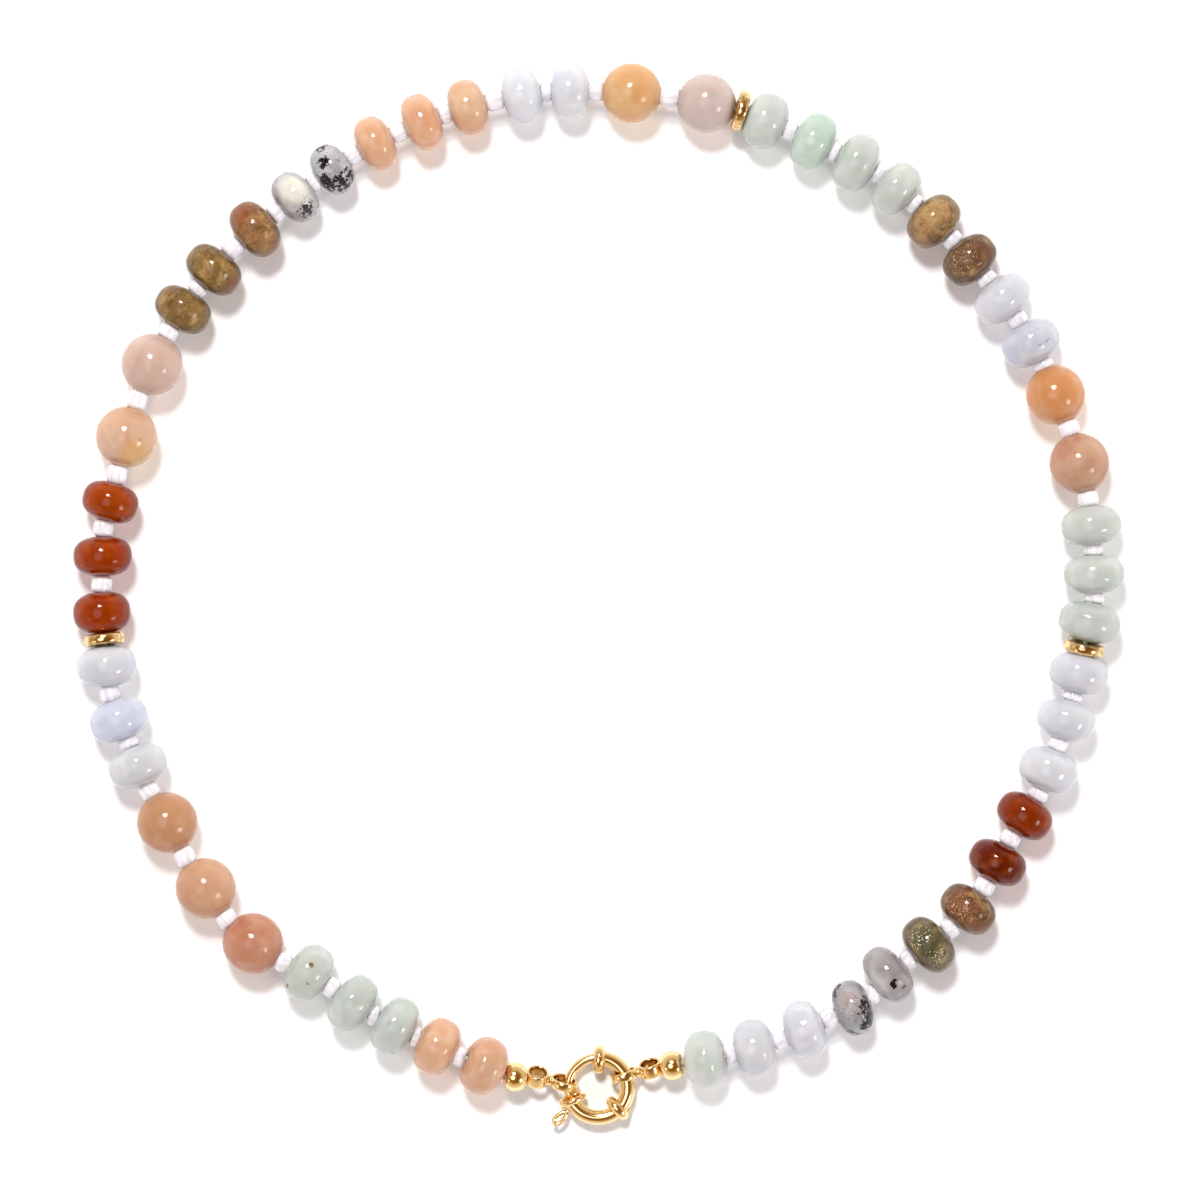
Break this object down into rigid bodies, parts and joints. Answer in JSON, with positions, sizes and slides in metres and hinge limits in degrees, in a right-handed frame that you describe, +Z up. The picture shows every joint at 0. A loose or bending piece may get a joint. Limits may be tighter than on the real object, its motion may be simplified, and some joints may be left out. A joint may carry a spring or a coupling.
{
  "type": "beaded gemstone necklace",
  "caption": "Closed loop of round and rondelle stone beads with glass seed beads between, gold spacers and a bolt-ring clasp.",
  "frame": {"origin": "middle of the necklace's box, on the table that it lies on", "axes": "+X to the right and +Y away from the clasp as the necklace lies, +Z up from the table"},
  "size_m": [0.1388, 0.1406, 0.0083],
  "materials": {
    "mixed_stone": "polished",
    "peach_stone": "polished",
    "pale_green_stone": "polished",
    "rose_brown_stone": "polished",
    "tan_peach_stone": "polished",
    "apricot_stone": "polished",
    "dusty_rose_stone": "polished",
    "pale_blue_stone": "polished",
    "red_brown_stone": "polished",
    "olive_brown_stone": "polished",
    "speckled_stone": "polished",
    "seed_glass": "clear and glossy",
    "gold": "gold-plated, polished"
  },
  "bodies": {
    "necklace": {"bead_string_left": "mixed_stone", "bead_string_right": "mixed_stone", "gold_spacer_left": "gold", "gold_spacer_top": "gold", "gold_spacer_right": "gold", "end_bead_left": "gold", "end_bead_right": "gold", "end_connector_left": "gold", "end_connector_right": "gold", "clasp_ring": "gold"},
    "bolt": {"clasp_bolt": "gold"}
  },
  "joints": [
    {"name": "bolt_slide", "type": "hinge", "parent": "necklace", "child": "bolt", "pos_m": [-0.0001, -0.065, 0.00188], "axis": [0, 0, 1], "range_deg": [0, 38], "stiffness_Nm_per_rad": 0.01, "springref_deg": -20.05}
  ]
}
